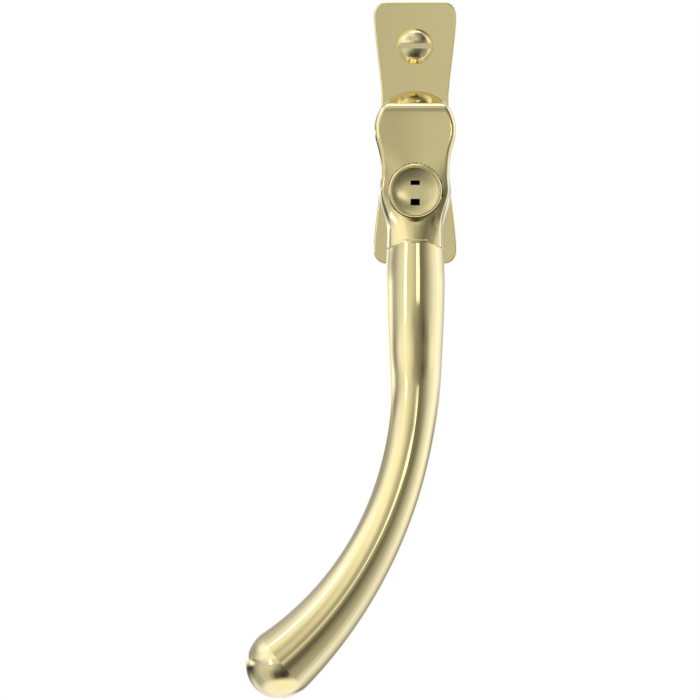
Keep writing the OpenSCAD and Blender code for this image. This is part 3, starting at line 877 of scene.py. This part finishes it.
# ---------------------------------------------------------------- studio
def ramp(tree, position, stops):
    """Brightness read off by azimuth: stops are (degrees to the right of the camera, level)."""
    made = node(tree, "ShaderNodeValToRGB", {"Fac": position})
    made.color_ramp.interpolation = "EASE"
    elements = made.color_ramp.elements
    while len(elements) > 1:
        elements.remove(elements[-1])
    for index, (azimuth, level) in enumerate(stops):
        place = azimuth / 360 + 0.5
        element = elements[0] if index == 0 else elements.new(place)
        element.position = place
        element.color = (level, level, level, 1)
    return made.outputs["Color"]


# Light seen at each azimuth, in a run of heights above the horizon. These levels weren't designed
# freely: they were typed in, rounded, from a table that a scratch program solved from the
# reflections in the reference photograph, and were then retuned by eye.
RIG = [
    (-34, [(-180, 1.1), (-165, 1.0), (-125, .85), (-112, .5), (-87, .5), (-67, .68), (-47, .65),
           (-35, .4), (-22, .12), (3, .06), (15, .08), (33, .38), (53, .45), (73, .75), (95, 1.05),
           (113, .9), (133, .55), (150, .25), (172, 1)]),
    (-7, [(-180, .85), (-167, .45), (-155, .22), (-137, .06), (-110, .06), (-97, .3), (-85, .55),
          (-70, .75), (-37, .8), (-25, .65), (-15, .42), (0, .2), (20, .15), (33, .23), (45, .4),
          (63, .68), (75, .95), (95, 1.25), (105, 1.2), (122, .8), (134, .33), (143, .4), (153, 1.1),
          (165, 1.1)]),
    (1, [(-180, .9), (-165, 1.1), (-150, 1.5), (-139, 1.2), (-131, .9), (-120, 1.4), (-106, 1.5),
         (-95, .7), (-83, .5), (-68, .66), (-56, .8), (-28, .86), (-14, .72), (-5, .66), (-1.8, .57),
         (.8, .65), (4, .6), (12, .42), (20, .32), (30, .22), (36, .2), (45, .3), (55, .52), (66, .8),
         (80, 1.05), (104, 1.3), (120, 1.2), (138, .9), (150, .62), (160, .6), (172, .9)]),
    (6, [(-180, .8), (-165, .6), (-150, .4), (-134, .36), (-119, .6), (-105, .32), (-96, .36), (-84, .52),
         (-69, .8), (-54, .95), (-28, .86), (-6, .74), (-1.8, .5), (.8, .66), (4, .62), (12, .42),
         (20, .24), (28, .2), (35, .25), (45, .38), (55, .56), (66, .8), (80, 1.05), (104, 1.3),
         (120, 1.1), (138, .75), (150, .55), (160, .6), (172, .9)]),
    (12, [(-180, .9), (-160, .6), (-135, .42), (-115, .45), (-100, .65), (-87, .9), (-74, 1.1),
          (-55, 1.12), (-42, 1.2), (-29, .98), (-16, .72), (-8, .48), (0, .38), (10, .3), (18, .22),
          (35, .12), (45, .24), (55, .38), (62, .75), (80, 1.25), (104, 1.42), (120, 1.25), (140, .7),
          (155, .6), (170, .9)]),
    (18, [(-180, .8), (-155, .5), (-132, .42), (-115, .45), (-103, .6), (-88, .9), (-76, 1.15),
          (-66, 1.28), (-50, 1.22), (-30, 1.15), (-18, .9), (-8, .65), (2, .32), (16, .26), (28, .2),
          (43, .3), (55, .6), (68, 1.05), (80, 1.3), (95, 1.4), (120, 1.2), (138, .6), (160, .7)]),
    (32, [(-180, .8), (-150, .45), (-137, .58), (-115, .75), (-104, 1.1), (-90, 1.3), (-65, 1.3),
          (-45, 1.05), (-32, .72), (-22, .62), (-8, .68), (6, .7), (15, .5), (24, .32), (34, .12),
          (44, .12), (54, .45), (70, 1.0), (88, 1.3), (105, 1.3), (125, 1.0), (140, .6), (160, .7)]),
    (55, [(-180, .5), (-130, .6), (-80, 1.0), (-40, 1.1), (-12, .95), (4, .5), (16, .3), (40, .25),
          (70, .5), (95, .9), (130, .7), (160, .6)]),
]

# Softboxes, placed with the same program's output at hand: their level, then their edges in
# azimuth and elevation, how soft those are, and how many degrees of azimuth they lean to the
# left for each degree that they rise.
SOFTBOXES = [
    (2.6, dict(az0=-40.5, az1=-31, el0=-2, el1=9.4, soft=1.3, slant=0.45)),
    (1.7, dict(az0=4.5, az1=17.5, el0=3.4, el1=8.2, soft=0.8, slant=0)),
    (2.4, dict(az0=-79, az1=-68, el0=35, el1=53, soft=2.0, slant=-0.4)),
]
CEILING = (62, 80, 2.2)          # elevations over which the light turns to this level
GROUND = (-42, -62, 1.15)
COOL = (0.98, 1.0, 1.2, 1)       # tint of the light from the sides
COOL_FROM = (35, 80)             # azimuths over which it sets in


def make_world():
    world = bpy.data.worlds.new("studio")
    world.use_nodes = True
    tree = world.node_tree
    tree.nodes.clear()
    way = node(tree, "ShaderNodeTexCoord").outputs["Generated"]
    x, y, z = node(tree, "ShaderNodeSeparateXYZ", {0: way}).outputs
    azimuth = calc(tree, "MULTIPLY", calc(tree, "ARCTAN2", x, calc(tree, "MULTIPLY", y, -1.0)), 180 / math.pi)
    elevation = calc(tree, "MULTIPLY", calc(tree, "ARCSINE", z), 180 / math.pi)
    position = calc(tree, "MULTIPLY_ADD", azimuth, 1 / 360, 0.5)

    def step_between(value, start, end):
        return remap(tree, value, start, end, 0.0, 1.0, smooth=True)

    def softbox(az0, az1, el0, el1, soft, slant):
        raised = calc(tree, "MAXIMUM", calc(tree, "SUBTRACT", elevation, el0), 0.0)
        leaning = calc(tree, "MULTIPLY_ADD", raised, slant, azimuth)
        parts = [step_between(leaning, az0 - soft, az0 + soft),
                 step_between(leaning, az1 + soft, az1 - soft),
                 step_between(elevation, el0 - soft, el0 + soft),
                 step_between(elevation, el1 + soft, el1 - soft)]
        value = parts[0]
        for part in parts[1:]:
            value = calc(tree, "MULTIPLY", value, part)
        return value

    light = ramp(tree, position, RIG[0][1])
    for (below, _), (above, stops) in zip(RIG, RIG[1:]):
        light = blend_colours(tree, step_between(elevation, below, above), light, ramp(tree, position, stops))
    for start, end, level in (CEILING, GROUND):
        light = blend_colours(tree, step_between(elevation, start, end), light, (level, level, level, 1))
    for level, lamp in SOFTBOXES:
        light = blend_colours(tree, softbox(**lamp), light, (level, level, level, 1))
    off_axis = step_between(calc(tree, "ABSOLUTE", azimuth), *COOL_FROM)
    light = blend_colours(tree, off_axis, light, COOL, mode="MULTIPLY")
    to_camera = node(tree, "ShaderNodeLightPath").outputs["Is Camera Ray"]
    light = blend_colours(tree, to_camera, light, (1, 1, 1, 1))
    shine = node(tree, "ShaderNodeBackground", {"Color": light, "Strength": 1.0})
    node(tree, "ShaderNodeOutputWorld", {"Surface": shine.outputs[0]})
    bpy.context.scene.world = world


def make_floor():
    """Plain pale floor below the handle."""
    lo, hi = -350, 350
    floor_z, thick = -450, 10
    outline = rounded([(hi, lo), (hi, hi), (lo, hi), (lo, lo)], [40] * 4)
    verts = [(x, y, z) for z in (floor_z - thick, floor_z) for x, y in outline]
    n = len(outline)
    faces = grid_faces(2, n) + [tuple(range(n - 1, -1, -1)), tuple(range(n, 2 * n))]
    floor = new_mesh("floor", verts, faces)
    paint = finish_material("floor_paint", (0.80, 0.80, 0.79), (0.77, 0.77, 0.76), 0.0,
                            (0.5, 0.65), (1, 1, 1), 300, 1e-5, cloud=6)
    floor.data.materials.append(paint)
    floor.visible_glossy = False


CAMERA_AWAY = 1.0                # metres from the mounting face
CAMERA_Z = -0.05371
LENS = 206.7
YAW = 0.929                      # degrees to the left, so that the handle stands right of centre


def make_camera():
    data = bpy.data.cameras.new("camera")
    data.lens = LENS
    data.sensor_width = 36
    cam = bpy.data.objects.new("camera", data)
    cam.location = (0, -CAMERA_AWAY, CAMERA_Z)
    cam.rotation_euler = (math.pi / 2, 0, math.radians(YAW))
    bpy.context.scene.collection.objects.link(cam)
    bpy.context.scene.camera = cam


make_world()
make_floor()
make_camera()
bpy.context.scene.view_settings.view_transform = "Standard"
